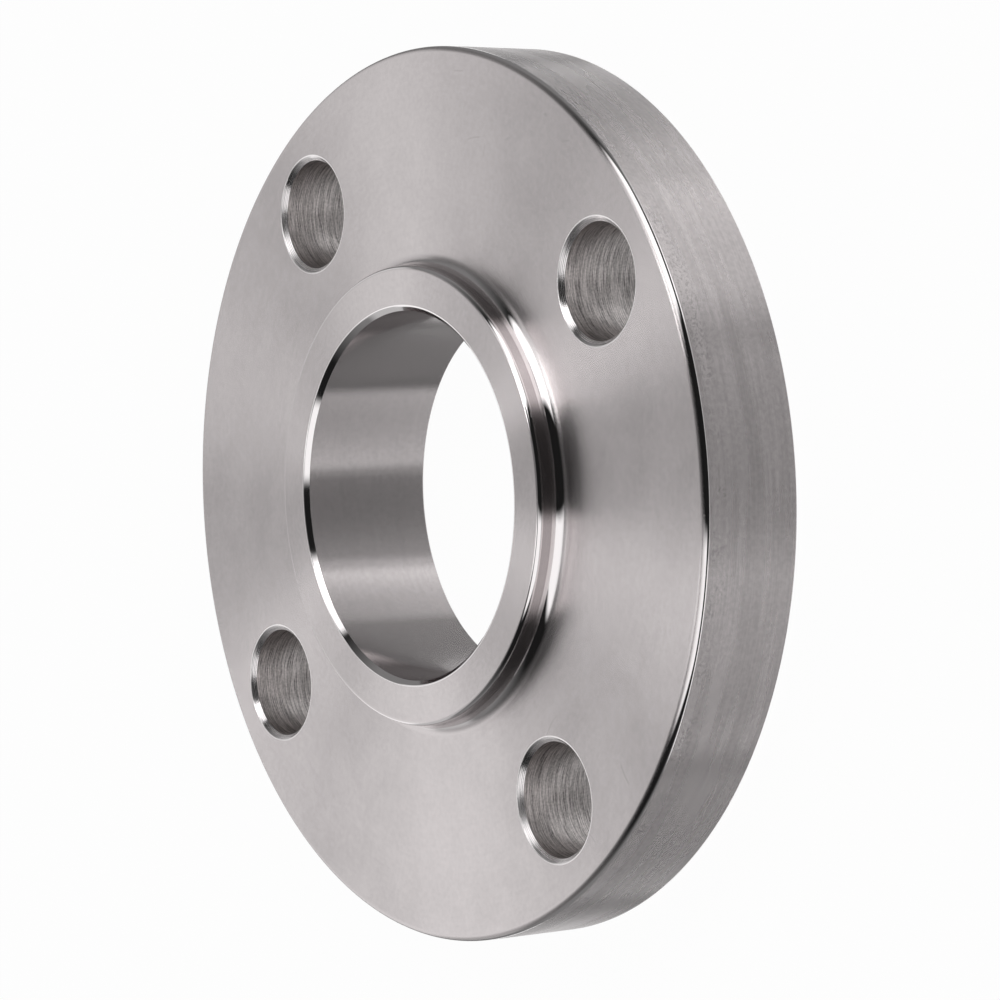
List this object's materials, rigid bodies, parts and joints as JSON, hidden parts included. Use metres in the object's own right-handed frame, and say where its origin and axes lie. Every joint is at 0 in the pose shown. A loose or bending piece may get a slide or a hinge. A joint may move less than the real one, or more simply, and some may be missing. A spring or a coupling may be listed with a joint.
{
  "type": "pipe flange",
  "caption": "Turned steel slip-on pipe flange: thick round plate, low hub, smooth through bore, chamfered bolt holes on a circle and a raised sealing face on the back.",
  "frame": {"origin": "centre of the bore on the raised sealing face, which the flange lies on", "axes": "+Z along the bore from the raised face towards the hub; the bolt holes lie between X and Y, at 45 degrees to them"},
  "size_m": [0.152, 0.152, 0.0252],
  "materials": {
    "turned_steel": "bare stainless steel, fine turned faces with polished edges"
  },
  "bodies": {
    "root": {"flange": "turned_steel"}
  },
  "joints": []
}
